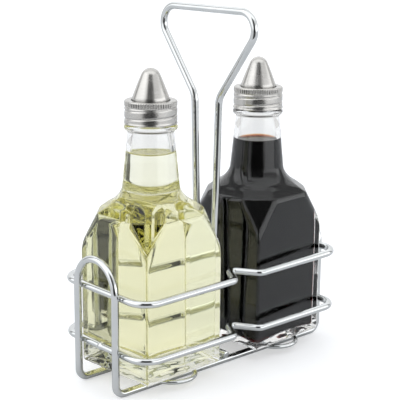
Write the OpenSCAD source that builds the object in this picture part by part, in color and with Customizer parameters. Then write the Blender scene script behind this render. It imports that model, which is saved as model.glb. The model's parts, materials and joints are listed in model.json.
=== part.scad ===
// Cruet set: two square glass bottles with steel pouring caps, standing in a chromed wire rack.
// X runs along the rack, Y across it and Z up. The origin is on the table, under the rack's centre.

/* [Wire] */
// Thickness of the rack's main wire
wire_d = 4; // [3.5:0.1:4.5]
// Thickness of the wire that the bottles stand on
support_wire_d = 2.5; // [2:0.1:3]
// How far crossing wires sink into each other at a weld
weld_depth = 0.3; // [0.1:0.1:0.5]

/* [Base frame] */
// Distance between the two base wires, centre to centre
base_w = 32.2; // [28:0.2:36]
// Height at which an end arch's legs turn into its half circle
arch_spring_z = 56.5; // [52:0.5:62]
// Bend radius between an arch's leg and its base wire
base_bend_r = 5.5; // [4:0.5:8]

/* [Rails] */
// Length of a rail, centre to centre of its wire
rail_l = 146.8; // [144:0.2:156]
// Width of a rail, centre to centre of its wire
rail_w = 69.8; // [68:0.2:76]
// Bend radius of a rail's four corners
rail_corner_r = 11; // [8:0.5:16]
// Height of the lower rail
lower_rail_z = 24; // [20:0.5:28]
// Height of the upper rail at the oil bottle's end
upper_rail_z = 54.8; // [50:0.2:58]
// How much higher the upper rail lies at the vinegar bottle's end
upper_rail_rise = 2; // [0:0.2:3]
// Width of the mouth of the pinch between the bottles
pinch_w = 20; // [18:0.5:22]
// How far the pinch's two limbs reach in, up to where they would meet
pinch_depth = 15.9; // [12:0.1:18]
// Bend radius at each side of the pinch's mouth
pinch_mouth_r = 4; // [3:0.5:5]
// Bend radius at the pinch's inner point
pinch_tip_r = 3; // [2.5:0.5:4]

/* [Handle] */
// Height of the handle's top bar
handle_z = 198; // [185:0.1:210]
// Width of the handle at its top, before its corners are rounded
handle_w = 91; // [80:1:96]
// Bend radius of the top corners
handle_corner_r = 9.4; // [8:0.2:12]
// Height at which the handle's slanting sides meet its legs
handle_neck_z = 150.5; // [146:0.5:156]
// Distance between the legs at that height
handle_neck_w = 19.4; // [16:0.2:24]
// Bend radius there
handle_neck_r = 12; // [8:0.5:16]
// Distance between the legs at the bottom
handle_foot_w = 10.8; // [10:0.2:16]
// Distance between the ends of the two feet
handle_span = 37.2; // [36.4:0.2:44]
// Bend radius between a leg and its foot
handle_foot_r = 4; // [3:0.5:5]

/* [Bottle supports] */
// Length of each support loop, centre to centre of its wire
support_l = 60; // [56:1:66]
// Width of each support loop, centre to centre of its wire
support_w = 25.2; // [20:0.2:30]

/* [Bottles] */
// Distance between the two bottles, centre to centre
bottle_pitch = 79.2; // [78:0.2:84]
// Width of a bottle's square body
bottle_w = 54; // [50:0.5:55]
// Radius of the body's upright edges
edge_r = 1.4; // [1:0.2:3]
// Radius around the body's bottom
heel_r = 2.5; // [1.5:0.5:4]
// Height of the body, up to the top of its flat sides
body_h = 85.8; // [80:0.2:92]
// How far along a side each corner facet cuts at that height
facet_cut = 13.1; // [11:0.1:15]
// Height from the facets' lower points to that level
facet_h = 18.5; // [15:0.5:22]
// Radius of the edge between a flat side and the shoulder
brow_r = 5; // [4.5:0.1:5.2]
// Glass thickness at the sides
wall = 2.4; // [2:0.1:3.2]
// Glass thickness in the middle of the bottom
base_t = 7.2; // [6:0.2:10]
// Glass thickness at the bottom's corners
corner_t = 3; // [2.4:0.2:4]
// How far the bottom is pushed up in its middle
push_up = 1; // [0.5:0.1:2]
// How far the oil bottle stands turned in the rack, in degrees
oil_turn = 2; // [0:0.5:4]
// How far the vinegar bottle stands turned in the rack, in degrees
vinegar_turn = 3; // [0:0.5:4]
// Level of the oil above the bottle's bottom
oil_level = 117.8; // [100:0.2:124]
// Level of the vinegar above the bottle's bottom
vinegar_level = 115.2; // [100:0.2:124]

/* [Neck] */
// Radius of the neck where it leaves the shoulder
neck_foot_r = 16; // [15:0.1:16.6]
// Height of that place above the bottle's bottom
shoulder_z = 93.8; // [93:0.1:95]
// Radius of the hollow curve between neck and shoulder
shoulder_r = 8.5; // [7:0.5:10]
// Radius of the neck at its top
neck_top_r = 12.3; // [12:0.1:12.6]
// Height of the neck's top, under its bead
neck_top_z = 130.4; // [128:0.2:131]
// Radius of the bead under the cap
bead_r = 14.2; // [13.8:0.1:14.6]
// Radius of the mouth's screw thread
mouth_r = 12.8; // [12.6:0.1:12.8]
// Radius of the bore through the mouth
bore_r = 9.6; // [9:0.1:10]
// Height of the mouth above the bottle's bottom
mouth_z = 143.3; // [142:0.1:144]

/* [Cap] */
// Outer radius of the cap's collar
collar_r = 13.9; // [13.8:0.1:14.4]
// Height of the collar's lower edge above the bottle's bottom
collar_z = 133.8; // [133.5:0.1:134.6]
// Sheet thickness of the collar and the pourer
sheet_t = 0.6; // [0.5:0.1:0.7]
// Height of the knurled band at the collar's top
knurl_h = 3; // [2:0.1:4]
// Depth of the two grooves rolled into the collar
groove_depth = 0.2; // [0.1:0.05:0.25]
// Radius of the pouring cone at its foot
cone_r = 9.8; // [9:0.1:10.2]
// Height of the cone's tip above the collar
cone_h = 16.7; // [14:0.1:18]
// Radius of the cone's rounded tip
tip_r = 5.4; // [4:0.1:6]
// Diameter of the pouring hole
pour_hole_d = 2.4; // [1.6:0.1:3]
// Thickness of the sealing washer
washer_t = 0.8; // [0.6:0.1:1]

/* [Hidden] */
$fn = 48;

// Clearance between pieces that move apart
play = 0.3;
// A straight run of wire is let into the bends at its ends, a hair thinner than they are
lap = 0.1;
hair = 0.02;

wire_r = wire_d / 2;
arch_x = rail_l / 2 + wire_d - weld_depth;
arch_r = base_w / 2;
foot_z = wire_r + wire_d - weld_depth;
support_z = wire_d + support_wire_d / 2 - weld_depth;
bottle_z = support_z + support_wire_d / 2 + play;

half_w = bottle_w / 2;
shoulder_slope = 0.4;
// The brow's arc ends where its slope has come down to this angle
brow_end = 30;
hollow_edge_r = edge_r + 1.5;
liquid_gap = 0.1;
// The hollow's floor is part of a sphere that rises from its corners to its middle
floor_reach = 34;
floor_rise = base_t - corner_t;
floor_r = (floor_reach * floor_reach + floor_rise * floor_rise) / (2 * floor_rise);

washer_z = mouth_z + play;
flange_z = washer_z + washer_t + play;
lip_z = flange_z + sheet_t + play;
collar_h = lip_z + sheet_t - collar_z;
flange_r = collar_r - sheet_t - 0.4;
lip_hole_r = cone_r + 0.4;
groove_w = 1.8;
tip_z = lip_z + sheet_t + cone_h;
riser_h = 3;

chrome = [0.82, 0.84, 0.86];
steel = [0.70, 0.69, 0.67];
glass = [0.86, 0.93, 0.88, 0.35];
oil_tint = [0.85, 0.83, 0.55];
vinegar_tint = [0.16, 0.10, 0.08];
washer_tint = [0.90, 0.90, 0.87];

function unit(v) = v / norm(v);
function wrap(list, i) = list[(i + len(list)) % len(list)];
function half_angle(a, b, c) = acos(unit(a - b) * unit(c - b)) / 2;
// Centre of the arc of radius r that rounds corner b between a and c
function arc_centre(a, b, c, r) =
    b + unit(unit(a - b) + unit(c - b)) * r / sin(half_angle(a, b, c));
// Where that arc meets the line from b to a
function arc_start(a, b, c, r) = b + unit(a - b) * r / tan(half_angle(a, b, c));

// One bend of a wire, lying in the XY plane
module bend(a, b, c, r, wire) {
    centre = arc_centre(a, b, c, r);
    middle = atan2(b[1] - centre[1], b[0] - centre[0]);
    sweep = 180 - 2 * half_angle(a, b, c);
    translate(centre)
        rotate([0, 0, middle - sweep / 2])
            rotate_extrude(angle = sweep)
                translate([r, 0])
                    circle(d = wire, $fn = 24);
}

// One straight stretch of a wire, lying in the XY plane
module straight(from, to, wire) {
    run = to - from;
    translate(from)
        rotate([0, 90, atan2(run[1], run[0])])
            translate([0, 0, -lap])
                cylinder(d = wire - hair, h = norm(run) + 2 * lap, $fn = 24);
}

// A closed loop of wire through the corners of a path, with a bend radius for each
module closed_wire(path, radii, wire) {
    for (i = [0 : len(path) - 1]) {
        a = wrap(path, i - 1);
        b = path[i];
        c = wrap(path, i + 1);
        d = wrap(path, i + 2);
        bend(a, b, c, radii[i], wire);
        straight(arc_start(c, b, a, radii[i]), arc_start(b, c, d, wrap(radii, i + 1)), wire);
    }
}

// A wire with two ends, bent at each inner corner of a path
module open_wire(path, radii, wire) {
    last = len(path) - 1;
    for (i = [1 : last - 1])
        bend(path[i - 1], path[i], path[i + 1], radii[i], wire);
    for (i = [0 : last - 1]) {
        b = path[i];
        c = path[i + 1];
        straight(
            i == 0 ? b : arc_start(c, b, path[i - 1], radii[i]),
            i == last - 1 ? c : arc_start(b, c, path[i + 2], radii[i + 1]),
            wire
        );
    }
}

module both_ends() {
    children();
    mirror([1, 0, 0])
        children();
}

module both_sides() {
    children();
    mirror([0, 1, 0])
        children();
}

// One wire that makes both base wires and both end arches
module base_frame() {
    leg_z = wire_r + base_bend_r;
    color(chrome)
        both_ends() {
            translate([arch_x, 0, arch_spring_z])
                rotate([90, 0, 90])
                    rotate_extrude(angle = 180)
                        translate([arch_r, 0])
                            circle(r = wire_r, $fn = 24);
            both_sides()
                translate([0, arch_r, 0]) {
                    translate([arch_x, 0, leg_z])
                        cylinder(r = wire_r, h = arch_spring_z - leg_z, $fn = 24);
                    translate([arch_x - base_bend_r, 0, leg_z])
                        rotate([90, 90, 0])
                            rotate_extrude(angle = 90)
                                translate([base_bend_r, 0])
                                    circle(r = wire_r, $fn = 24);
                    translate([0, 0, wire_r])
                        rotate([0, 90, 0])
                            cylinder(r = wire_r, h = arch_x - base_bend_r, $fn = 24);
                }
        }
}

// A rail goes round both bottles and is pinched in between them. It may rise from end to end
module rail(z, rise) {
    x = rail_l / 2;
    y = rail_w / 2;
    mouth = pinch_w / 2;
    tip = y - pinch_depth;
    path = [
        [x, -y], [x, y], [mouth, y], [0, tip], [-mouth, y],
        [-x, y], [-x, -y], [-mouth, -y], [0, -tip], [mouth, -y]
    ];
    corners = [rail_corner_r, rail_corner_r];
    pinch = [pinch_mouth_r, pinch_tip_r, pinch_mouth_r];
    color(chrome)
        translate([0, 0, z + rise / 2])
            rotate([0, -atan(rise / rail_l), 0])
                closed_wire(path, concat(corners, pinch, corners, pinch), wire_d);
}

module lower_rail() {
    rail(lower_rail_z, 0);
}

module upper_rail() {
    rail(upper_rail_z, upper_rail_rise);
}

// The carrying handle, whose legs turn outwards into feet welded on top of the base wires
module handle() {
    foot = handle_span / 2;
    ankle = handle_foot_w / 2;
    neck = handle_neck_w / 2;
    corner = handle_w / 2;
    path = [
        [-foot, foot_z], [-ankle, foot_z], [-neck, handle_neck_z], [-corner, handle_z],
        [corner, handle_z], [neck, handle_neck_z], [ankle, foot_z], [foot, foot_z]
    ];
    radii = [
        0, handle_foot_r, handle_neck_r, handle_corner_r,
        handle_corner_r, handle_neck_r, handle_foot_r, 0
    ];
    color(chrome)
        rotate([90, 0, 90])
            open_wire(path, radii, wire_d);
}

// A loop across the base wires that a bottle stands on
module support(side) {
    x = support_w / 2;
    y = support_l / 2;
    color(chrome)
        translate([side * bottle_pitch / 2, 0, support_z])
            both_sides() {
                translate([0, y - x, 0])
                    rotate_extrude(angle = 180)
                        translate([x, 0])
                            circle(d = support_wire_d, $fn = 24);
                for (across = [-x, x])
                    translate([across, 0, 0])
                        rotate([-90, 0, 0])
                            cylinder(d = support_wire_d, h = y - x, $fn = 24);
            }
}

module oil_support() {
    support(-1);
}

module vinegar_support() {
    support(1);
}

// Stands a bottle's own parts where that bottle stands in the rack
module stand(side, turn) {
    translate([side * bottle_pitch / 2, 0, bottle_z])
        rotate([0, 0, turn])
            children();
}

// A square with rounded corners
module rounded_square(w, r) {
    square([w, w - 2 * r], center = true);
    square([w - 2 * r, w], center = true);
    for (x = [-1, 1], y = [-1, 1])
        translate([x, y] * (w / 2 - r))
            circle(r = r);
}

// The body seen square on, with its walls moved inwards by inset
module side_outline(inset, bottom, bottom_r) {
    x = half_w - inset;
    r = brow_r - inset;
    end = [x - r, body_h] + (r - hair / 2) * [sin(brow_end), cos(brow_end)];
    translate([-x, bottom + bottom_r])
        square([2 * x, body_h - bottom - bottom_r]);
    translate([bottom_r - x, bottom])
        square([2 * (x - bottom_r), bottom_r + 1]);
    for (side = [-1, 1]) {
        translate([side * (x - bottom_r), bottom + bottom_r])
            circle(r = bottom_r);
        translate([side * (x - r), body_h])
            circle(r = r);
    }
    polygon([
        [r - x, body_h - 1], [-end[0], end[1]], [0, end[1] + end[0] * tan(brow_end)],
        end, [x - r, body_h - 1]
    ]);
}

// Takes the four facets off the body's upper corners
module corner_facets(inset) {
    lean = atan2(facet_cut / sqrt(2), facet_h);
    reach = bottle_w;
    for (quarter = [45 : 90 : 315])
        rotate([0, 0, quarter])
            translate([half_w * sqrt(2), 0, body_h - facet_h])
                rotate([0, -lean, 0])
                    translate([-inset, -reach / 2, -reach])
                        cube([reach, reach, 2 * reach]);
}

// Where the neck meets the shoulder, with the glass moved inwards by inset
function neck_foot(inset) = [neck_foot_r - inset, shoulder_z - 0.7 * inset];

// Half the neck's outline, with the hollow curve down to the shoulder
module neck_outline(inset, r) {
    a = [neck_top_r - inset, neck_top_z];
    b = neck_foot(inset);
    c = b + [10, -10 * shoulder_slope];
    centre = arc_centre(a, b, c, r);
    polygon([[0, b[1] - 4], [b[0] - 1, b[1] - 4], b, a, [0, a[1]]]);
    difference() {
        polygon([b - [1, 2], arc_start(a, b, c, r), centre, arc_start(c, b, a, r)]);
        translate(centre)
            circle(r = r - hair / 2);
    }
}

// Half the outline of the sloping shoulder
module shoulder_outline(inset) {
    b = neck_foot(inset);
    reach = bottle_w;
    polygon([[0, 0], [reach, 0], [reach, b[1] - (reach - b[0]) * shoulder_slope], b, [0, b[1]]]);
}

// A bottle's body and neck as one solid form, with its surface moved inwards by inset
module bottle_form(inset, bottom, bottom_r, upright_r) {
    difference() {
        intersection() {
            linear_extrude(body_h + 20)
                rounded_square(2 * (half_w - inset), upright_r);
            rotate([90, 0, 0])
                linear_extrude(bottle_w + 10, center = true)
                    side_outline(inset, bottom, bottom_r);
            rotate([90, 0, 90])
                linear_extrude(bottle_w + 10, center = true)
                    side_outline(inset, bottom, bottom_r);
            rotate_extrude()
                shoulder_outline(inset);
        }
        corner_facets(inset);
    }
    rotate_extrude()
        neck_outline(inset, shoulder_r + inset);
}

// The hollow inside a bottle, with its surface moved inwards by gap
module hollow(gap) {
    difference() {
        bottle_form(wall + gap, corner_t + gap, heel_r + 1, hollow_edge_r);
        translate([0, 0, base_t - floor_r])
            sphere(r = floor_r + gap, $fn = 96);
    }
}

// Half the outline of the bead and of the threaded mouth
module mouth_outline() {
    bead_z = neck_top_z - 0.4;
    bead_h = collar_z - play - bead_z;
    thread_h = 1.6;
    translate([0, bead_z])
        square([mouth_r - 0.5, mouth_z - bead_z]);
    translate([0, bead_z + 0.6])
        square([bead_r, bead_h - 0.6]);
    for (z = [collar_z + 1.6, collar_z + 5.2])
        translate([0, z])
            square([mouth_r, thread_h]);
}

module bottle_glass() {
    dish_r = (22 * 22 + push_up * push_up) / (2 * push_up);
    color(glass)
        difference() {
            union() {
                bottle_form(0, 0, heel_r, edge_r);
                rotate_extrude()
                    mouth_outline();
            }
            hollow(0);
            translate([0, 0, neck_top_z - 8])
                cylinder(r = bore_r, h = mouth_z);
            translate([0, 0, push_up - dish_r])
                sphere(r = dish_r, $fn = 96);
        }
}

// What a bottle holds, up to its level
module liquid(level) {
    intersection() {
        hollow(liquid_gap);
        cylinder(r = bottle_w, h = level);
    }
}

module oil_bottle() {
    stand(-1, oil_turn)
        bottle_glass();
}

module vinegar_bottle() {
    stand(1, vinegar_turn)
        bottle_glass();
}

module oil() {
    color(oil_tint)
        stand(-1, oil_turn)
            liquid(oil_level);
}

module vinegar() {
    color(vinegar_tint)
        stand(1, vinegar_turn)
            liquid(vinegar_level);
}

// The ring that seals the pourer on the mouth
module washer() {
    color(washer_tint)
        translate([0, 0, washer_z])
            difference() {
                cylinder(r = flange_r, h = washer_t);
                translate([0, 0, -1])
                    cylinder(r = bore_r - 1, h = washer_t + 2);
            }
}

// The pourer's cone, with its surface moved inwards by inset
module cone_outline(inset) {
    centre = [0, tip_z - tip_r];
    corner = [cone_r, flange_z + riser_h];
    away = corner - centre;
    // Direction of the tip's centre to where the cone's side runs into its round
    at = acos(tip_r / norm(away)) + atan2(away[1], away[0]);
    join = centre + (tip_r - inset - hair / 2) * [cos(at), sin(at)];
    base = corner - inset * [1, tan(at / 2)];
    low = flange_z - (inset > 0 ? 1 : 0);
    polygon([[0, low], [base[0], low], base, join, [0, join[1]]]);
    intersection() {
        translate(centre)
            circle(r = tip_r - inset);
        square([tip_r, tip_z]);
    }
}

// The conical pourer with the flange that the collar holds down
module pourer() {
    color(steel)
        rotate_extrude()
            difference() {
                union() {
                    cone_outline(0);
                    translate([0, flange_z])
                        square([flange_r, sheet_t]);
                }
                cone_outline(sheet_t);
                square([pour_hole_d / 2, tip_z + 1]);
            }
}

// The screw collar, rolled into grooves below its knurled band
module collar() {
    top = collar_z + collar_h;
    knurl_z = top - sheet_t - knurl_h;
    pitch = (knurl_z - collar_z) / 2;
    color(steel)
        rotate_extrude()
            difference() {
                union() {
                    translate([0, collar_z])
                        square([collar_r, collar_h - sheet_t]);
                    translate([0, collar_z])
                        square([collar_r + 0.3, 0.9]);
                    translate([0, knurl_z])
                        square([collar_r + 0.15, knurl_h]);
                    translate([0, collar_z])
                        square([collar_r - sheet_t, collar_h]);
                    translate([collar_r - sheet_t, top - sheet_t])
                        circle(r = sheet_t);
                }
                square([collar_r - sheet_t, lip_z]);
                square([lip_hole_r, top + 1]);
                for (i = [0, 1])
                    translate([collar_r - groove_depth, knurl_z - (i + 0.5) * pitch])
                        square([1, groove_w]);
            }
}

module oil_washer() {
    stand(-1, 0)
        washer();
}

module vinegar_washer() {
    stand(1, 0)
        washer();
}

module oil_pourer() {
    stand(-1, 0)
        pourer();
}

module vinegar_pourer() {
    stand(1, 0)
        pourer();
}

module oil_collar() {
    stand(-1, 0)
        collar();
}

module vinegar_collar() {
    stand(1, 0)
        collar();
}

base_frame();
lower_rail();
upper_rail();
handle();
oil_support();
vinegar_support();
oil_bottle();
oil();
oil_washer();
oil_pourer();
oil_collar();
vinegar_bottle();
vinegar();
vinegar_washer();
vinegar_pourer();
vinegar_collar();
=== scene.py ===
"""Looks of the cruet set: fine meshes, glass, liquids, chromed wire and satin steel caps, set
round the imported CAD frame. The pieces' lengths are in millimetres until a mesh is made; lengths
in materials are in metres."""
import json
import math

import bpy
import numpy as np
from mathutils import Matrix, Vector


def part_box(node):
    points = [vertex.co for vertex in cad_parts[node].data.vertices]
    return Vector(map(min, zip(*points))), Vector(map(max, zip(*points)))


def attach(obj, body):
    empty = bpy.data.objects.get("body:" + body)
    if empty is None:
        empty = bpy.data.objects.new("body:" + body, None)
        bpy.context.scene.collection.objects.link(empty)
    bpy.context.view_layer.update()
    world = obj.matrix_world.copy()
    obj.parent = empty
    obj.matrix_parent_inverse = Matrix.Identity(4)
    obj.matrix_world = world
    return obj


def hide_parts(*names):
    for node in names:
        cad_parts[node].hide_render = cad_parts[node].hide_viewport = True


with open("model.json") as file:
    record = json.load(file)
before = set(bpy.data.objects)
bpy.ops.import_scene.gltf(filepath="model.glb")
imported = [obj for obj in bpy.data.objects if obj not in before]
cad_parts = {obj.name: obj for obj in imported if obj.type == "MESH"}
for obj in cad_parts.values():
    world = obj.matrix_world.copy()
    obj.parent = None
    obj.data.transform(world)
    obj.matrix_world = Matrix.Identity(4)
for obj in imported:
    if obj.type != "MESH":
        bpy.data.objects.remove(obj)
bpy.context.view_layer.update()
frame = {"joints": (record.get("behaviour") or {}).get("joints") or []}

MM = 0.001
TAU = 2 * math.pi


# ---------------------------------------------------------------- where the bottles stand
def joint_place(name):
    """The point in millimetres that a joint of the record turns about."""
    return [v / MM for v in next(j["pos_m"] for j in frame["joints"] if j["name"] == name)]


BOTTLE_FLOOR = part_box("oil_bottle")[0].z / MM
OIL_X = joint_place("oil_collar_turn")[0]
VINEGAR_X = joint_place("vinegar_collar_turn")[0]
# How far each bottle is turned in the rack
OIL_TURN = math.radians(2.0)
VINEGAR_TURN = math.radians(3.0)


def stand(points, x, turn):
    """Moves points given in a bottle's own coordinates to where that bottle stands."""
    c, s = math.cos(turn), math.sin(turn)
    p = np.asarray(points, float)
    return np.stack([x + c * p[..., 0] - s * p[..., 1],
                     s * p[..., 0] + c * p[..., 1],
                     p[..., 2] + BOTTLE_FLOOR], -1)


# ---------------------------------------------------------------- shader nodes
class Nodes:
    """A short way to wire shader nodes."""

    def __init__(self, tree):
        self.tree = tree
        tree.nodes.clear()

    def add(self, kind, **settings):
        node = self.tree.nodes.new(kind)
        for key, value in settings.items():
            setattr(node, key, value)
        return node

    def set(self, node, **values):
        for key, value in values.items():
            node.inputs[key.replace("_", " ")].default_value = value
        return node

    def feed(self, output, node, into):
        self.tree.links.new(output, node.inputs[into])

    def link(self, a, out, b, into):
        self.feed(a.outputs[out], b, into)

    def math(self, operation, a, b=None):
        node = self.add("ShaderNodeMath", operation=operation)
        for i, v in enumerate((a, b)):
            if isinstance(v, (int, float)):
                node.inputs[i].default_value = v
            elif v is not None:
                self.feed(v, node, i)
        return node.outputs[0]

    def noise(self, coordinates, scale, detail, roughness=0.5, stretch=None):
        if stretch:
            mapping = self.add("ShaderNodeMapping")
            mapping.inputs["Scale"].default_value = stretch
            self.feed(coordinates, mapping, "Vector")
            coordinates = mapping.outputs[0]
        node = self.add("ShaderNodeTexNoise")
        self.set(node, Scale=scale, Detail=detail, Roughness=roughness)
        self.feed(coordinates, node, "Vector")
        return node.outputs["Fac"]

    def span(self, value, low, high, to_low, to_high):
        node = self.add("ShaderNodeMapRange")
        self.feed(value, node, "Value")
        for key, v in (("From Min", low), ("From Max", high),
                       ("To Min", to_low), ("To Max", to_high)):
            node.inputs[key].default_value = v
        return node.outputs["Result"]

    def blend(self, factor, a, b):
        """Goes from colour a to b as factor goes from 0 to 1. b is a colour or a node's output."""
        node = self.add("ShaderNodeMix", data_type="RGBA")
        self.feed(factor, node, "Factor")
        node.inputs["A"].default_value = (*a, 1)
        if isinstance(b, tuple):
            node.inputs["B"].default_value = (*b, 1)
        else:
            self.feed(b, node, "B")
        return node.outputs["Result"]

    def bump(self, height, distance, strength):
        node = self.add("ShaderNodeBump")
        self.set(node, Strength=strength, Distance=distance)
        self.feed(height, node, "Height")
        return node.outputs["Normal"]


def new_material(name):
    """A material with one Principled shader, placed by the piece's own coordinates."""
    material = bpy.data.materials.new(name)
    material.use_nodes = True
    n = Nodes(material.node_tree)
    out = n.add("ShaderNodeOutputMaterial")
    shader = n.add("ShaderNodeBsdfPrincipled")
    n.link(shader, 0, out, "Surface")
    n.place = n.add("ShaderNodeTexCoord").outputs["Object"]
    return material, n, shader, out


def chrome_material(name):
    """Bright plating with faint clouds and a barely uneven surface."""
    material, n, shader, _ = new_material(name)
    n.set(shader, Metallic=1.0)
    cloud = n.noise(n.place, 60, 3)
    tone = n.blend(n.span(cloud, 0.35, 0.65, 0, 1), (0.655, 0.675, 0.675), (0.715, 0.725, 0.725))
    n.feed(tone, shader, "Base Color")
    n.feed(n.span(n.noise(n.place, 220, 4), 0.3, 0.7, 0.05, 0.11), shader, "Roughness")
    n.feed(n.bump(n.noise(n.place, 350, 2), 0.00003, 0.5), shader, "Normal")
    return material


def steel_material(name):
    """Satin steel with fine turning lines, with painted shade that darkens its grooves and seams.
    """
    material, n, shader, _ = new_material(name)
    n.set(shader, Metallic=1.0)
    lines = n.noise(n.place, 1.0, 4, 0.6, (150, 150, 9000))
    blotch = n.noise(n.place, 90, 3)
    tone = n.blend(n.span(lines, 0.3, 0.7, 0, 1), (0.54, 0.525, 0.50), (0.62, 0.605, 0.58))
    # painted shade: where ambient occlusion finds the surface closed in (grooves, seams, the cone's
    # foot) the base colour is blended to near black
    painted_crevice_shade = n.add("ShaderNodeAmbientOcclusion", samples=8)
    painted_crevice_shade.inputs["Distance"].default_value = 0.0014
    open_to_light = n.span(painted_crevice_shade.outputs["AO"], 0.35, 0.85, 0, 1)
    n.feed(n.blend(open_to_light, (0.10, 0.10, 0.095), tone), shader, "Base Color")
    n.feed(n.span(blotch, 0.3, 0.7, 0.20, 0.30), shader, "Roughness")
    n.feed(n.bump(lines, 0.00004, 0.6), shader, "Normal")
    return material


def clear_material(name, ior, tint=(0.990, 0.998, 0.992)):
    """A surface at which light passes into something clear. Its colour drifts between the tint
    and a paler form of it."""
    material, n, shader, _ = new_material(name)
    paler = tuple(0.4 + 0.6 * v for v in tint)
    tone = n.blend(n.span(n.noise(n.place, 30, 2), 0.3, 0.7, 0, 1), tint, paler)
    n.feed(tone, shader, "Base Color")
    n.set(shader, Roughness=0.0, IOR=ior, Transmission_Weight=1.0)
    return material


def liquid_material(name, colour, density):
    """The liquid itself. Its surface bends no light: the film on it does."""
    material, n, shader, out = new_material(name)
    n.set(shader, Base_Color=(1, 1, 1, 1), Roughness=0.0, IOR=1.0, Transmission_Weight=1.0)
    body = n.add("ShaderNodeVolumeAbsorption")
    n.set(body, Color=(*colour, 1), Density=density)
    n.link(body, 0, out, "Volume")
    return material


def plastic_material(name, colour):
    """Dull plastic, slightly mottled."""
    material, n, shader, _ = new_material(name)
    darker = tuple(0.93 * v for v in colour)
    n.feed(n.blend(n.span(n.noise(n.place, 400, 3), 0.3, 0.7, 0, 1), darker, colour),
           shader, "Base Color")
    n.set(shader, Roughness=0.5)
    return material


CHROME = chrome_material("chromed_wire")
STEEL = steel_material("satin_steel")
# Light is bent where the dry glass or a liquid's top meets air, and a little where a liquid meets
# the glass. That last surface faces inwards, because the liquid bends light less than the glass.
GLASS_IOR, OIL_IOR, VINEGAR_IOR = 1.52, 1.47, 1.345
GLASS = clear_material("clear_glass", GLASS_IOR, (0.940, 0.940, 0.930))
WET_GLASS = clear_material("wet_glass", 1.0)
OIL = liquid_material("oil_liquid", (0.842, 0.798, 0.295), 14.0)
OIL_TOP = clear_material("oil_top", OIL_IOR)
OIL_SIDE = clear_material("oil_side", GLASS_IOR / OIL_IOR)
VINEGAR = liquid_material("vinegar_liquid", (0.80, 0.45, 0.05), 4000.0)
VINEGAR_TOP = clear_material("vinegar_top", VINEGAR_IOR)
VINEGAR_SIDE = clear_material("vinegar_side", GLASS_IOR / VINEGAR_IOR)
WASHER = plastic_material("washer_plastic", (0.86, 0.86, 0.82))


# ---------------------------------------------------------------- meshes
def place_mesh(name, points, faces, material, body, nodes, normals=None, second=None):
    """Makes one piece that rides a CAD body and stands for CAD nodes, if any are given. second is
    another material and, for each face, whether it has that one."""
    mesh = bpy.data.meshes.new(name)
    mesh.from_pydata((np.asarray(points, float) * MM).tolist(), [], faces)
    mesh.polygons.foreach_set("use_smooth", [True] * len(mesh.polygons))
    mesh.materials.append(material)
    if second is not None:
        mesh.materials.append(second[0])
        mesh.polygons.foreach_set("material_index", [int(v) for v in second[1]])
    if normals is not None:
        mesh.normals_split_custom_set_from_vertices(normals.tolist())
    mesh.update()
    piece = bpy.data.objects.new(name, mesh)
    bpy.context.scene.collection.objects.link(piece)
    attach(piece, body)
    if nodes:
        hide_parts(*nodes)
    return piece


def grid_faces(rows, columns, rows_closed=False):
    """Quads of a grid whose columns run round in a ring."""
    faces = []
    for i in range(rows if rows_closed else rows - 1):
        a, b = i * columns, ((i + 1) % rows) * columns
        for j in range(columns):
            k = (j + 1) % columns
            faces.append((a + j, a + k, b + k, b + j))
    return faces


def loop_normals(grid):
    """Normals of a grid of points whose rows and columns both run round in a ring."""
    along = np.roll(grid, -1, 1) - np.roll(grid, 1, 1)
    across = np.roll(grid, -1, 0) - np.roll(grid, 1, 0)
    n = np.cross(along, across)
    return n / np.maximum(np.linalg.norm(n, axis=-1, keepdims=True), 1e-12)


def capped_mesh(grid):
    """Points and faces of a surface whose first and last rows each close to a point."""
    rows, columns = grid.shape[:2]
    points = np.vstack([grid.reshape(-1, 3), grid[0].mean(0), grid[-1].mean(0)])
    faces = grid_faces(rows, columns)
    a, b = rows * columns, rows * columns + 1
    top = (rows - 1) * columns
    for j in range(columns):
        k = (j + 1) % columns
        faces.append((a, k, j))
        faces.append((b, top + j, top + k))
    return points, faces


# ---------------------------------------------------------------- wires
# The longest turn, in radians, and the longest stretch between two points of a wire's centre line
ARC_STEP = 0.07
LONGEST = 4.0
# Points closer than this count as one
SAME = 1e-4
WIRE_SIDES = 36


def rounded_path(corners, radii, closed):
    """A wire's centre line through corners, each rounded to its radius. An open path's two ends
    have none."""
    corners = [np.array(c, float) for c in corners]
    count = len(corners)
    points = []
    for i, b in enumerate(corners):
        if not closed and i in (0, count - 1):
            points.append(b)
            continue
        u = corners[i - 1] - b
        v = corners[(i + 1) % count] - b
        u /= np.linalg.norm(u)
        v /= np.linalg.norm(v)
        half = math.acos(np.clip(u @ v, -1, 1)) / 2
        r = radii[i]
        centre = b + (u + v) / np.linalg.norm(u + v) * r / math.sin(half)
        start = b + u * r / math.tan(half)
        end = b + v * r / math.tan(half)
        sweep = math.pi - 2 * half
        pieces = max(4, math.ceil(sweep / ARC_STEP))
        p, q = (start - centre) / r, (end - centre) / r
        for k in range(pieces + 1):
            t = k / pieces
            w = (math.sin((1 - t) * sweep) * p + math.sin(t * sweep) * q) / math.sin(sweep)
            points.append(centre + r * w)
    return np.array(points)


def resample(path, closed):
    """Adds points on the long straight stretches of a path, and drops doubled ones."""
    out = []
    count = len(path)
    for i in range(count if closed else count - 1):
        a, b = path[i], path[(i + 1) % count]
        pieces = max(1, math.ceil(np.linalg.norm(b - a) / LONGEST))
        out += [a + (b - a) * k / pieces for k in range(pieces)]
    if not closed:
        out.append(path[-1])
    keep = [out[0]]
    for p in out[1:]:
        if np.linalg.norm(p - keep[-1]) > SAME:
            keep.append(p)
    if closed and np.linalg.norm(keep[0] - keep[-1]) < SAME:
        keep.pop()
    return np.array(keep)


def wire_path(corners, radii, closed=True):
    return resample(rounded_path(corners, radii, closed), closed)


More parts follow.
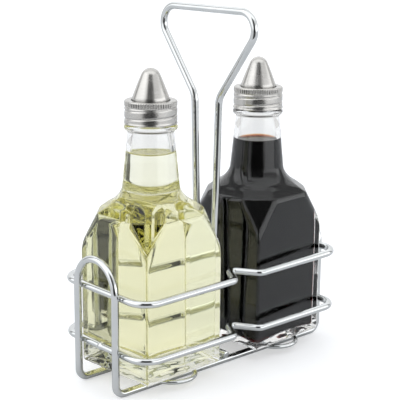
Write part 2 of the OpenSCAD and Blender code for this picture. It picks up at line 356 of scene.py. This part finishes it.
def sweep_tube(path, radius, closed):
    """Rings of a round wire along a path. radius is one value or one for each point."""
    count = len(path)
    if closed:
        tangent = np.roll(path, -1, 0) - np.roll(path, 1, 0)
    else:
        tangent = np.gradient(path, axis=0)
    tangent /= np.linalg.norm(tangent, axis=1, keepdims=True)
    radius = np.broadcast_to(radius, (count,))
    start = np.array([0, 0, 1.0]) if abs(tangent[0][2]) < 0.9 else np.array([1.0, 0, 0])
    u = np.cross(tangent[0], start)
    u /= np.linalg.norm(u)
    frames = [u]
    for i in range(1, count):
        u = frames[-1] - tangent[i] * (frames[-1] @ tangent[i])
        frames.append(u / np.linalg.norm(u))
    twist = 0.0
    if closed:
        end = frames[-1] - tangent[0] * (frames[-1] @ tangent[0])
        end /= np.linalg.norm(end)
        twist = math.atan2(np.cross(end, frames[0]) @ tangent[0], end @ frames[0])
    angle = np.arange(WIRE_SIDES) / WIRE_SIDES * TAU
    rings = []
    for i in range(count):
        v = np.cross(tangent[i], frames[i])
        a = angle + twist * i / count
        spokes = np.cos(a)[:, None] * frames[i] + np.sin(a)[:, None] * v
        rings.append(path[i] + radius[i] * spokes)
    return np.array(rings)


def closed_wire(name, path, radius):
    """One of the rack's closed wires. radius is one value or one for each point."""
    rings = sweep_tube(path, radius, True)
    faces = grid_faces(len(rings), rings.shape[1], True)
    normals = loop_normals(rings).reshape(-1, 3)
    place_mesh(name, rings.reshape(-1, 3), faces, CHROME, "rack", [name], normals)


def open_wire(name, path, radius):
    """One of the rack's wires that has two cut ends, with slightly broken edges."""
    broken = 0.28
    first = path[1] - path[0]
    last = path[-2] - path[-1]
    path = np.vstack([path[:1], path[0] + first / np.linalg.norm(first) * broken, path[1:-1],
                      path[-1] + last / np.linalg.norm(last) * broken, path[-1:]])
    radii = np.full(len(path), radius)
    radii[[0, -1]] -= broken
    rings = sweep_tube(path, radii, False)
    # a tenth-size ring in the middle of each cut face
    middle = [np.repeat(rings[i].mean(0)[None], WIRE_SIDES, 0) for i in (0, -1)]
    rings = np.concatenate([
        [middle[0] * 0.9 + rings[0] * 0.1], rings, [middle[1] * 0.9 + rings[-1] * 0.1]])
    points, faces = capped_mesh(rings)
    place_mesh(name, points, faces, CHROME, "rack", [name])


WIRE = 4.0
SUPPORT_WIRE = 2.5
# How deep welded wires lie in each other
WELD = 0.3
# Half the length and half the width of the rails, between centre lines
RAIL_X, RAIL_Y = 73.4, 34.9
# Half the distance between the two base wires, and how high the arches' round tops start
BASE_HALF = 16.1
ARCH_SPRING = 56.5
ARCH_X = RAIL_X + WIRE - WELD
# Keeps a half circle's two quarter turns just short of touching
SHY = 0.001


def butt_weld(path, r):
    """Adds points for a slight bead on the rail's end at -x. Returns them and the radii."""
    x, y = path[:, 0].min(), 0.5
    reach, count = 1.6, 13
    height, width = 0.45, 0.75
    at_end = path[:, 0] < x + 1e-6
    on_end = np.nonzero(at_end & np.roll(at_end, -1))[0]
    k = next(i for i in on_end if (path[i, 1] - y) * (path[(i + 1) % len(path), 1] - y) <= 0)
    bead = np.stack([np.full(count, x), y + np.linspace(-reach, reach, count),
                     np.full(count, path[k, 2])], -1)
    if path[(k + 1) % len(path), 1] < path[k, 1]:
        bead = bead[::-1]
    keep = ~at_end | (np.abs(path[:, 1] - y) > reach + 0.1)
    before, after = path[:k + 1][keep[:k + 1]], path[k + 1:][keep[k + 1:]]
    radii = np.concatenate([np.full(len(before), r),
                            r + height * np.exp(-((bead[:, 1] - y) / width) ** 2),
                            np.full(len(after), r)])
    return np.concatenate([before, bead, after]), radii


def build_base_and_rails():
    r = WIRE / 2
    # base wires and end arches: one closed wire
    foot_bend = 5.5
    top = ARCH_SPRING + BASE_HALF
    loop, radii = [], []
    for x, order in ((-ARCH_X, (1, -1)), (ARCH_X, (-1, 1))):
        y0, y1 = BASE_HALF * order[0], BASE_HALF * order[1]
        loop += [(x, y0, r), (x, y0, top), (x, y1, top), (x, y1, r)]
        radii += [foot_bend, BASE_HALF - SHY, BASE_HALF - SHY, foot_bend]
    closed_wire("base_frame", wire_path(loop, radii), r)

    # the two rails, pinched between the bottles
    pinch, mouth = 15.9, 10.0
    x, y, tip = RAIL_X, RAIL_Y, RAIL_Y - pinch
    corners = [(x, -y), (x, y), (mouth, y), (0, tip), (-mouth, y),
               (-x, y), (-x, -y), (-mouth, -y), (0, -tip), (mouth, -y)]
    radii = [11, 11, 4, 3, 4, 11, 11, 4, 3, 4]
    for name, z, rise in (("lower_rail", 24.0, 0.0), ("upper_rail", 54.8, 2.0)):
        path = wire_path([(*c, 0) for c in corners], radii)
        path[:, 2] = z + rise / 2 + path[:, 0] * rise / (2 * RAIL_X)
        radius = r
        if name == "lower_rail":
            # the bead where the ends of its wire are butt-welded
            path, radius = butt_weld(path, r)
        closed_wire(name, path, radius)


def build_handle_and_supports():
    # the handle, with its feet turned outwards on the base wires: (y, z) up one side
    foot = WIRE / 2 + WIRE - WELD
    side = [(18.6, foot), (5.4, foot), (9.7, 150.5), (45.5, 198.0)]
    corners = [(0, -a, b) for a, b in side] + [(0, a, b) for a, b in reversed(side)]
    radii = [0, 4, 12, 9.4, 9.4, 12, 4, 0]
    open_wire("handle", wire_path(corners, radii, False), WIRE / 2)

    # the loops that the bottles stand on
    half_width, half_length = 12.6, 30.0
    z = WIRE + SUPPORT_WIRE / 2 - WELD
    for name, x in (("oil_support", OIL_X), ("vinegar_support", VINEGAR_X)):
        corners = [(x + a * half_width, b * half_length, z)
                   for a, b in ((-1, -1), (1, -1), (1, 1), (-1, 1))]
        closed_wire(name, wire_path(corners, [half_width - SHY] * 4), SUPPORT_WIRE / 2)


# ---------------------------------------------------------------- bottles
def round_and(a, b, r):
    """Distance to what lies inside both a and b, with the edge between them rounded."""
    return np.minimum(np.maximum(a, b), -r) + np.hypot(np.maximum(a + r, 0), np.maximum(b + r, 0))


def round_or(a, b, r):
    """Distance to what lies inside a or b, with the corner between them filled."""
    return np.maximum(np.minimum(a, b), r) - np.hypot(np.maximum(r - a, 0), np.maximum(r - b, 0))


# Half the body's width, and the height at which its upright sides end
HALF = 27.0
BODY_H = 85.8
# How much of each side the facets take off at that height, and how high they are
FACET_CUT, FACET_H = 13.6, 19.1
WALL = 2.4
# The bottom's thickness in the middle and near its corners
BASE_T, CORNER_T = 7.2, 3.0
OIL_LEVEL, VINEGAR_LEVEL = 117.8, 115.2
# How far the liquid climbs up the glass at its edge
RISE = 1.3
NECK_TOP = 130.4
# The shoulder's fall for each millimetre outwards. The scale makes the slanting fields distances.
SHOULDER_SLOPE, SHOULDER_SCALE = 0.4, 1.077
NECK_TAPER, NECK_SCALE = 0.1011, 1.005


def neck_radius(z):
    return 12.3 + (NECK_TOP - z) * NECK_TAPER


def plane(side, z, out, up, through_side, through_z):
    """Signed distance to a plane that leans inwards and passes through one point."""
    return out * (side - through_side) + up * (z - through_z)


def cone(r, z, through_r, through_z):
    """Signed distance to the shoulder's round cone through one point."""
    return ((z - through_z) + SHOULDER_SLOPE * (r - through_r)) / SHOULDER_SCALE


def facet(x, y, z):
    """Signed distance to the four planes that take the body's upper corners off."""
    lean = math.atan2(FACET_CUT / math.sqrt(2), FACET_H)
    u = (np.abs(x) + np.abs(y)) / math.sqrt(2) - HALF * math.sqrt(2)
    return math.cos(lean) * u + math.sin(lean) * (z - BODY_H + FACET_H)


def outside(x, y, z):
    """Signed distance to the bottle's outer surface, below its bead."""
    edge_r, facet_r, foot_r, neck_fill = 1.4, 2.1, 2.5, 7.0
    r = np.hypot(x, y)
    body = round_and(np.abs(x) - HALF, np.abs(y) - HALF, edge_r)
    body = round_and(body, facet(x, y, z), facet_r)
    shoulder = cone(r, z, 16, 93.8)
    for side in (np.abs(x), np.abs(y)):
        body = round_and(body, plane(side, z, 0.906, 0.423, HALF, 84.6), 0.5)
        shoulder = round_and(shoulder, plane(side, z, 0.707, 0.707, HALF - 0.84, 86.4), 0.9)
    corner = (np.abs(x) + np.abs(y)) / math.sqrt(2)
    shoulder = round_and(shoulder, plane(corner, z, 0.574, 0.819, 29.1, BODY_H), 0.4)
    body = round_and(body, shoulder, 0.2)
    # the bottom is slightly dished and unevenly moulded
    dish = 0.9 * (0.5 + 0.5 * np.cos(np.clip(r / 23, 0, 1) * math.pi))
    ripple = 0.05 * (1 + np.sin(x / 2.1 + 2 * np.sin(y / 5.3))) \
        * (1 + np.sin(y / 1.9 + np.sin(x / 4.1)))
    body = round_and(body, dish + ripple - z, foot_r)
    neck = np.maximum((r - neck_radius(z)) / NECK_SCALE, 86 - z)
    return round_or(body, neck, neck_fill)


def inside(x, y, z):
    """Signed distance to the surface of the hollow inside the bottle, which is a little wavy."""
    edge_r, shoulder_r, facet_r, foot_r, neck_fill = 3.2, 3.0, 2.0, 2.4, 9.0
    r = np.hypot(x, y)
    wave = 0.10 * np.sin(x / 7 + 1) * np.sin(y / 6 + 2) * np.sin(z / 8) \
        + 0.06 * np.sin(z / 3.1 + x / 5) * np.sin(y / 4.3)
    body = round_and(np.abs(x) - HALF + WALL, np.abs(y) - HALF + WALL, edge_r)
    body = round_and(body, cone(r, z, 15, 91.2), shoulder_r)
    body = round_and(body, facet(x, y, z) + WALL, facet_r)
    floor = BASE_T - (BASE_T - CORNER_T) * (r / 34) ** 2
    body = round_and(body, floor - z, foot_r)
    neck = np.maximum((r - neck_radius(z) + WALL) / NECK_SCALE, 84 - z)
    return round_or(body, neck, neck_fill) + wave


def cast(distance, rays, angles, offset=0.0):
    """Where rays from the axis, each (height, tilt from straight up), meet a surface, found by
    halving the stretch that it must lie in."""
    farthest, halvings = 75.0, 34
    height = np.array([h for h, _ in rays])[:, None]
    tilt = np.radians([t for _, t in rays])[:, None]
    dx = np.sin(tilt) * np.cos(angles)[None]
    dy = np.sin(tilt) * np.sin(angles)[None]
    dz = np.broadcast_to(np.cos(tilt), dx.shape)
    low = np.zeros(dx.shape)
    high = np.full(dx.shape, farthest)
    for _ in range(halvings):
        middle = (low + high) / 2
        beyond = distance(dx * middle, dy * middle, height + dz * middle) > offset
        high = np.where(beyond, middle, high)
        low = np.where(beyond, low, middle)
    return np.stack([dx * low, dy * low, height + dz * low], -1)


def ramp(start, end, count):
    """count rays from one (height, tilt) towards another, leaving out the last."""
    return [tuple(a + (b - a) * k / count for a, b in zip(start, end))
            for k in range(count)]


def hit(z, r, tilt):
    """The ray with this tilt that passes through (r, z)."""
    return (z - r / math.tan(math.radians(tilt)), tilt)


def steps(points, counts):
    """Rays through a chain of (z, r, tilt) targets."""
    rays = []
    for (a, b), count in zip(zip(points, points[1:]), counts):
        for k in range(count):
            rays.append(hit(*[p + (q - p) * k / count for p, q in zip(a, b)]))
    return rays


def ring_angles():
    """Angles round a bottle, closest together at its upright edges."""
    count, crowding = 320, 0.75
    u = np.arange(count) / count * TAU
    return u + crowding / 4 * np.sin(4 * u)


ANGLES = ring_angles()


def turned(profile):
    """Rings of a round profile of (r, z) points."""
    p = np.array(profile, float)
    return np.stack([p[:, :1] * np.cos(ANGLES), p[:, :1] * np.sin(ANGLES),
                     np.broadcast_to(p[:, 1:], (len(p), len(ANGLES)))], -1)


# How the rays fan out to each surface of a bottle. They start straight down from one height on the
# axis (eye) and pass the bottom's rim (tilts in base), the side at half the body's width (heights
# in side), the shoulder (down to its last tilt), the neck's foot (a radius) and the neck (height
# and radius). counts says how many rays each stretch has.
OUTER_FAN = {"eye": 20, "base": (131, 111), "half": 27, "side": (40, 62, 84), "shoulder": 42,
             "neck_foot": 16.9, "neck": ((112, 14.2), (128, 12.6)),
             "counts": (26, 44, 14, 8, 46, 62, 34, 8)}
INNER_FAN = {"eye": 26, "base": (133, 112), "half": 24, "side": (44, 62, 82), "shoulder": 40,
             "neck_foot": 13.5, "neck": ((110, 11.5), (126, 9.8)),
             "counts": (26, 34, 12, 8, 36, 54, 34, 8)}


def fan_rays(fan):
    """Rays in the order of a fan's counts, from the middle of the bottom up to the neck."""
    down, level, rising = 179.2, 90, 75
    eye, half, counts = fan["eye"], fan["half"], fan["counts"]
    rim, foot = fan["base"]
    z_low, z_middle, z_high = fan["side"]
    rays = ramp((eye, down), (eye, rim), counts[0]) + ramp((eye, rim), (eye, foot), counts[1])
    z_foot = eye + half / math.tan(math.radians(foot))
    rays += steps([(z_foot, half, foot), (z_low, half, level), (z_middle, half, level),
                   (z_high, half, rising)], counts[2:5])
    top_eye = hit(z_high, half, rising)[0]
    rays += ramp((top_eye, rising), (top_eye, fan["shoulder"]), counts[5])
    z_neck = top_eye + fan["neck_foot"] / math.tan(math.radians(fan["shoulder"]))
    rays += steps([(z_neck, fan["neck_foot"], fan["shoulder"])]
                  + [(z, r, level) for z, r in fan["neck"]], counts[6:])
    return rays


# The screw threads of mouth and collar rise this far in one turn
PITCH = 4.2


def mouth_rings():
    """The bead, the helical thread and the mouth, from the neck round to the bore."""
    bead_r, bead_out, bead_z = 12.7, 1.5, 131.95
    bead = []
    for k in range(17):
        a = -math.pi / 2 + math.pi * k / 16
        swell = bead_out * math.cos(a) ** 0.7 if 0 < k < 16 else 0.0
        bead.append((bead_r + swell, bead_z + bead_out * math.sin(a)))
    rings = [turned([(12.48, 129.0), (12.42, 129.9)] + bead + [(12.35, 133.7)])]

    mouth_r, ridge, ridge_half = 12.25, 0.55, 0.75
    thread_low, ring_step, thread_start = 134.0, 0.295, 135.3
    thread = []
    turn = ANGLES / TAU
    for k in range(30):
        z = thread_low + k * ring_step
        r = np.full(len(ANGLES), mouth_r)
        # one and a half turns, fading in and out
        for lap, fade in ((0, np.clip(turn * 6, 0, 1)), (1, np.clip((0.5 - turn) * 6, 0, 1))):
            centre = thread_start + PITCH * (turn + lap)
            r = np.maximum(r, mouth_r + ridge * np.exp(-((z - centre) / ridge_half) ** 4) * fade)
        thread.append(np.stack([r * np.cos(ANGLES), r * np.sin(ANGLES),
                                np.full(len(ANGLES), z)], -1))
    rings.append(np.array(thread))

    lip = [(12.2, 142.8)]
    for k in range(7):
        a = math.pi * k / 6
        lip.append((11.0 + 1.1 * math.cos(a), 142.95 + 0.35 * math.sin(a)))
    bore = [(9.75, 142.5), (9.6, 141), (9.6, 136), (9.55, 131), (9.6, 128)]
    rings.append(turned(lip + bore))
    return np.concatenate(rings)


def cut_ring(grid, height):
    """Adds the ring at one height to rings that run up to the neck. Returns them and its number."""
    heights = grid[..., 2].mean(1)
    k = int(np.nonzero(heights < height)[0].max()) + 1
    f = (height - heights[k - 1]) / (heights[k] - heights[k - 1])
    return np.insert(grid, k, grid[k - 1] + f * (grid[k] - grid[k - 1]), axis=0), k


def row_flags(rows, columns, low, high):
    """For each face of a capped mesh, whether it lies between rows low and high."""
    flags = []
    for i in range(rows - 1):
        flags += [low <= i and i + 1 <= high] * columns
    for _ in range(columns):
        flags += [low == 0, high == rows - 1]
    return flags


def build_bottle(name, x, turn, level):
    """One closed glass piece. Below the liquid's edge its inner surface is wet."""
    outer = cast(outside, fan_rays(OUTER_FAN), ANGLES)
    inner, wet = cut_ring(cast(inside, fan_rays(INNER_FAN), ANGLES), level + RISE)
    grid = np.concatenate([outer, mouth_rings(), inner[::-1]])
    points, faces = capped_mesh(grid)
    rows, columns = grid.shape[:2]
    flags = row_flags(rows, columns, rows - 1 - wet, rows - 1)
    place_mesh(name, stand(points, x, turn), faces, GLASS, name, [name],
               second=(WET_GLASS, flags))


def liquid_rings(level, into_glass):
    """Rings up the sides of a liquid and rings of its open top, which climbs up the glass."""
    edge_width = 0.9
    body = cast(inside, fan_rays(INNER_FAN), ANGLES, into_glass)
    body = body[body[..., 2].max(1) < level - 0.4]
    wall = neck_radius(level) - WALL + into_glass
    rim = [(wall, level - 0.2), (wall, level + 0.5 * RISE), (wall, level + RISE)]
    top = []
    for inward in (0.1, 0.25, 0.5, 0.8, 1.2, 1.7, 2.3, 3.1, 4.5, 6.5, 8.5):
        top.append((wall - inward, level + RISE * math.exp(-inward / edge_width)))
    top.append((0.3, level))
    return np.concatenate([body, turned(rim)]), turned(top)


def build_liquid(name, x, turn, level, material, top_material, side_material):
    """The liquid and its film reach a hair into the glass, so that light passes through them in
    turn. The film's top lies over the liquid's, and its sides face inwards."""
    body, slot = name + "_bottle", name + "_liquid"
    liquid_into, film_into, film_over = 0.06, 0.09, 0.02
    points, faces = capped_mesh(np.concatenate(liquid_rings(level, liquid_into)))
    place_mesh(name, stand(points, x, turn), faces, material, body, [name])

    sides, top = liquid_rings(level, film_into)
    top[..., 2] += film_over
    grid = np.concatenate([sides, top])
    points, faces = capped_mesh(grid)
    rows, columns = grid.shape[:2]
    open_top = row_flags(rows, columns, len(sides) - 1, rows - 1)
    faces = [face if up else face[::-1] for face, up in zip(faces, open_top)]
    place_mesh(name + "_film", stand(points, x, turn), faces, side_material, body, [],
               second=(top_material, open_top))


# ---------------------------------------------------------------- caps
# The collar's lower edge, the underside of its lip and its top
COLLAR_Z = 133.8
LIP_Z = 145.6
CAP_TOP = 146.2
# Between these heights the collar is knurled
KNURL_LOW, KNURL_HIGH = 142.75, 145.5
# The pourer's flange, whose underside lies on the washer
FLANGE_Z = 144.7
SHEET = 0.6


def turned_piece(name, profile, count, x, material, body):
    """Makes a piece from a closed profile of (r, z) points turned about a bottle's axis. An r may
    be a function of the angle."""
    a = np.arange(count) / count * TAU
    rows = []
    for r, z in profile:
        radius = r(a) if callable(r) else np.full(count, r)
        rows.append(np.stack([radius * np.cos(a), radius * np.sin(a), np.full(count, z)], -1))
    points = np.array(rows).reshape(-1, 3)
    faces = grid_faces(len(profile), count, True)
    place_mesh(name, stand(points, x, 0), faces, material, body, [name])


def hump(distance, half):
    """A smooth rise to 1 where distance is 0."""
    return np.exp(-(distance / half) ** 2)


def collar_radius(z, a, start):
    """The collar's outer radius: rolled helical grooves, which start at an angle, below a knurled
    band."""
    plain, first_groove, groove_depth, groove_half = 13.95, 133.3, 0.45, 0.40
    radius = np.full(a.shape, plain)
    turn = ((a - start) / TAU) % 1.0
    for lap in range(-1, 4):
        centre = first_groove + PITCH * (turn + lap)
        # the groove runs out below the knurled band
        strength = np.clip((KNURL_LOW - 0.1 - centre) / 1.4, 0, 1)
        radius = radius - groove_depth * hump(z - centre, groove_half) * strength
    radius = radius - 0.38 * hump(z - KNURL_LOW, 0.42)
    ribs, rib_depth, fade = 60, 0.36, 0.10
    window = 1 / (1 + math.exp(-(z - KNURL_LOW - 0.45) / fade)) \
        * 1 / (1 + math.exp((z - KNURL_HIGH) / fade))
    radius = radius - window * rib_depth * (0.5 + 0.5 * np.cos(a * ribs)) ** 2
    # a slight flare at the lower edge
    return radius + 0.28 * hump(z - COLLAR_Z - 0.4, 0.5)


def build_collar(name, x, start):
    inner_r, knurl_top, top_round = 13.35, 145.55, 0.62
    profile = [(inner_r, LIP_Z), (inner_r, 140.0), (inner_r, COLLAR_Z + 0.4),
               (13.5, COLLAR_Z + 0.05), (13.75, COLLAR_Z), (14.0, COLLAR_Z + 0.08)]
    for z in np.concatenate([np.linspace(COLLAR_Z + 0.2, 142.2, 44),
                             np.linspace(142.35, knurl_top, 26)]):
        profile.append((lambda a, z=z: collar_radius(z, a, start), z))
    edge = collar_radius(knurl_top, np.zeros(1), start)[0]
    for k in range(1, 7):
        a = math.pi / 2 * k / 6
        profile.append((edge - top_round + top_round * math.cos(a),
                        knurl_top + 0.03 + top_round * math.sin(a)))
    # the lip, rolled down towards the pourer
    profile += [(12.4, CAP_TOP), (11.3, CAP_TOP - 0.02), (10.5, CAP_TOP - 0.05),
                (10.28, CAP_TOP - 0.15), (10.2, CAP_TOP - 0.32), (10.25, LIP_Z + 0.05),
                (10.4, LIP_Z), (12.0, LIP_Z)]
    turned_piece(name, profile, 864, x, STEEL, name)


def build_pourer(name, x):
    # the flange and the short upright part over it
    z = FLANGE_Z
    outer = [(12.75, z), (12.9, z + 0.15), (12.9, z + 0.45), (12.75, z + SHEET),
             (11.0, z + SHEET), (10.2, z + SHEET + 0.05), (9.85, z + 0.95), (9.8, z + 1.6),
             (9.8, z + 2.5), (9.72, z + 3.0), (9.5, z + 3.6)]
    # the cone, bulging a little, up to where the rounded tip begins
    tip_z, tip_r = 162.9, 5.4
    centre = tip_z - tip_r
    at = math.radians(22.5)
    foot_r, foot_z = outer[-1]
    join_r, join_z = tip_r * math.cos(at), centre + tip_r * math.sin(at)
    for k in range(1, 14):
        f = k / 14
        bulge = 0.10 * math.sin(math.pi * f)
        outer.append((foot_r + (join_r - foot_r) * f + bulge, foot_z + (join_z - foot_z) * f))
    # the tip, down to the edge of its hole
    hole = 1.2
    stop = math.acos((hole + 0.35) / tip_r)
    for k in range(17):
        a = at + (stop - at) * k / 16
        outer.append((tip_r * math.cos(a), centre + tip_r * math.sin(a)))
    z = outer[-1][1]
    outer += [(hole + 0.12, z + 0.02), (hole, z - 0.2), (hole, z - 0.55)]
    inner = [(max(r - SHEET, hole), z - 0.35) for r, z in reversed(outer[6:-4])]
    inner += [(9.2, FLANGE_Z + 0.1), (9.3, FLANGE_Z)]
    turned_piece(name, outer + inner, 192, x, STEEL, name)


def build_washer(name, x, body):
    low, high, bore, rim, soft = 143.6, 144.4, 8.6, 12.9, 0.15
    profile = [(bore, low + soft), (bore + soft, low), (rim - soft, low), (rim, low + soft),
               (rim, high - soft), (rim - soft, high), (bore + soft, high), (bore, high - soft)]
    turned_piece(name, profile, 160, x, WASHER, body)


# ---------------------------------------------------------------- studio
# Where the photograph was taken from: angles, the point looked at, and distance and sizes in metres
AZIMUTH, ELEVATION, ROLL = (math.radians(v) for v in (-42.15, 14.0, 0.46))
TARGET = Vector((-4.34, 0, 92.9)) * MM
DISTANCE = 0.6333
# The focal length in pixels, for an image this many pixels wide
FOCAL, IMAGE_WIDTH = 1139.8, 400


def build_camera():
    back = Vector((math.sin(AZIMUTH) * math.cos(ELEVATION),
                   -math.cos(AZIMUTH) * math.cos(ELEVATION), math.sin(ELEVATION)))
    right = Vector((math.cos(AZIMUTH), math.sin(AZIMUTH), 0))
    up = back.cross(right)
    c, s = math.cos(ROLL), math.sin(ROLL)
    right, up = c * right + s * up, c * up - s * right
    camera = bpy.data.objects.new("camera", bpy.data.cameras.new("camera"))
    sensor = 36
    camera.data.lens = sensor * FOCAL / IMAGE_WIDTH
    camera.data.sensor_width = sensor
    camera.data.clip_start, camera.data.clip_end = 0.01, 20
    place = Matrix((right, up, back)).transposed().to_4x4()
    place.translation = TARGET + back * DISTANCE
    camera.matrix_world = place
    bpy.context.scene.collection.objects.link(camera)
    bpy.context.scene.camera = camera


def build_floor():
    """A pale floor that ends a little way in front of the set. It glows for rays that come through
    glass, most of all under the set, so that the liquids stay as bright as in the photograph."""
    mesh = bpy.data.meshes.new("floor")
    reach, front = 3.0, 0.30
    ahead = Vector((math.sin(AZIMUTH), -math.cos(AZIMUTH), 0))
    aside = Vector((math.cos(AZIMUTH), math.sin(AZIMUTH), 0))
    corners = [ahead * a + aside * b
               for a, b in ((front, -reach), (front, reach), (-reach, reach), (-reach, -reach))]
    mesh.from_pydata(corners, [], [(0, 1, 2, 3)])
    floor = bpy.data.objects.new("floor", mesh)
    bpy.context.scene.collection.objects.link(floor)

    material, n, shader, _ = new_material("pale_floor")
    n.set(shader, Base_Color=(0.61, 0.62, 0.64, 1), Roughness=0.9, Specular_IOR_Level=0.1,
          Emission_Color=(1, 1, 1, 1))
    path = n.add("ShaderNodeLightPath")
    seen = n.span(path.outputs["Is Camera Ray"], 0, 1, 0.08, 0.50)
    # distance from the set's middle in metres, along ellipses as long as the set
    split = n.add("ShaderNodeSeparateXYZ")
    n.feed(n.place, split, 0)
    x, y = n.math("DIVIDE", split.outputs["X"], 1.5), split.outputs["Y"]
    away = n.math("SQRT", n.math("ADD", n.math("MULTIPLY", x, x), n.math("MULTIPLY", y, y)))
    table = n.span(away, 0.045, 0.085, 0.46, 0.23)
    glow = n.math("ADD", seen, n.math("MULTIPLY", path.outputs["Is Transmission Ray"], table))
    n.feed(glow, shader, "Emission Strength")
    mesh.materials.append(material)


# Bright and dark parts of the studio: degrees round from the photograph's direction, half width,
# width of the soft edge, lower and upper height on the unit sphere, and change of brightness.
BEHIND_CAMERA = ((0, 20, 12, -1.1, 0.60, -0.30),)
SOFT_BOXES = ((60, 40, 12, -0.08, 0.34, 0.9),
              (55, 30, 12, 0.34, 0.66, -0.3),
              (-75, 28, 12, 0.02, 0.66, 0.5),
              (180, 60, 20, 0.76, 1.0, -0.25),
              (0, 22, 8, -0.1, 0.72, -0.93),
              (0, 29, 8, -1.1, -0.05, -0.90),
              (-118, 5, 6, -0.3, 0.9, -0.6),
              (118, 5, 6, -0.3, 0.9, -0.6))
SIDE_GAPS = ((-118, 5, 6, -0.3, 0.9, -0.5),
             (118, 5, 6, -0.3, 0.9, -0.1))
# How bright the studio is through glass, and its tint for other rays
THROUGH_GLASS = 0.80
STUDIO_TINT = (0.98, 0.995, 1.01)


def build_world():
    """A white studio: bright all round, with a few dark gaps between its soft boxes. The camera
    itself sees plain white."""
    world = bpy.data.worlds.new("studio")
    bpy.context.scene.world = world
    world.use_nodes = True
    n = Nodes(world.node_tree)
    out = n.add("ShaderNodeOutputWorld")
    direction = n.add("ShaderNodeTexCoord").outputs["Generated"]
    split = n.add("ShaderNodeSeparateXYZ")
    n.feed(direction, split, 0)
    x, y, z = split.outputs
    azimuth = n.math("ARCTAN2", y, x)
    toward_camera = math.degrees(math.atan2(-math.cos(AZIMUTH), math.sin(AZIMUTH)))

    def patched(light, patches):
        for degrees, half, soft, low, high, change in patches:
            a = n.math("SUBTRACT", azimuth, math.radians(toward_camera + degrees))
            a = n.math("ABSOLUTE", n.math("ARCTAN2", n.math("SINE", a), n.math("COSINE", a)))
            near = n.span(a, math.radians(half), math.radians(half + soft), 1.0, 0.0)
            above = n.span(z, low - 0.08, low + 0.02, 0.0, 1.0)
            below = n.span(z, high, high + 0.12, 1.0, 0.0)
            amount = n.math("MULTIPLY", n.math("MULTIPLY", near, above),
                            n.math("MULTIPLY", below, change))
            light = n.math("MULTIPLY", light, n.math("ADD", 1.0, amount))
        return light

    # brighter overhead, darker below the horizon
    even = n.math("MULTIPLY", n.span(z, 0.35, 0.75, 1.0, 1.45), n.span(z, -0.12, 0.02, 0.75, 1.0))
    light = patched(even, SOFT_BOXES)
    through = patched(even, BEHIND_CAMERA + SIDE_GAPS)

    path = n.add("ShaderNodeLightPath")
    level = n.add("ShaderNodeMix", data_type="FLOAT")
    n.feed(path.outputs["Is Transmission Ray"], level, "Factor")
    n.feed(light, level, "A")
    n.feed(n.math("MULTIPLY", through, THROUGH_GLASS), level, "B")
    colour = n.add("ShaderNodeCombineColor")
    for i, tint in enumerate(STUDIO_TINT):
        shade = n.span(path.outputs["Is Transmission Ray"], 0, 1, tint, 1.0)
        n.feed(n.math("MULTIPLY", level.outputs["Result"], shade), colour, i)
    seen = n.add("ShaderNodeBackground")
    n.set(seen, Color=(1, 1, 1, 1), Strength=1.0)
    lit = n.add("ShaderNodeBackground")
    n.link(colour, 0, lit, "Color")
    mix = n.add("ShaderNodeMixShader")
    n.feed(path.outputs["Is Camera Ray"], mix, 0)
    n.link(lit, 0, mix, 1)
    n.link(seen, 0, mix, 2)
    n.link(mix, 0, out, "Surface")


def tune_scene():
    """Lets light pass through as many layers of glass and liquid as it meets."""
    scene = bpy.context.scene
    scene.view_settings.view_transform = "Standard"
    scene.cycles.max_bounces = 80
    scene.cycles.transmission_bounces = 60
    scene.cycles.glossy_bounces = 60
    scene.cycles.transparent_max_bounces = 120
    scene.cycles.caustics_refractive = True
    scene.cycles.caustics_reflective = True


build_base_and_rails()
build_handle_and_supports()
build_bottle("oil_bottle", OIL_X, OIL_TURN, OIL_LEVEL)
build_bottle("vinegar_bottle", VINEGAR_X, VINEGAR_TURN, VINEGAR_LEVEL)
build_liquid("oil", OIL_X, OIL_TURN, OIL_LEVEL, OIL, OIL_TOP, OIL_SIDE)
build_liquid("vinegar", VINEGAR_X, VINEGAR_TURN, VINEGAR_LEVEL,
             VINEGAR, VINEGAR_TOP, VINEGAR_SIDE)
for which, place, groove_start in (("oil", OIL_X, -2.6), ("vinegar", VINEGAR_X, -1.2)):
    build_collar(which + "_collar", place, groove_start)
    build_pourer(which + "_pourer", place)
    build_washer(which + "_washer", place, which + "_seal")
build_floor()
build_world()
build_camera()
tune_scene()
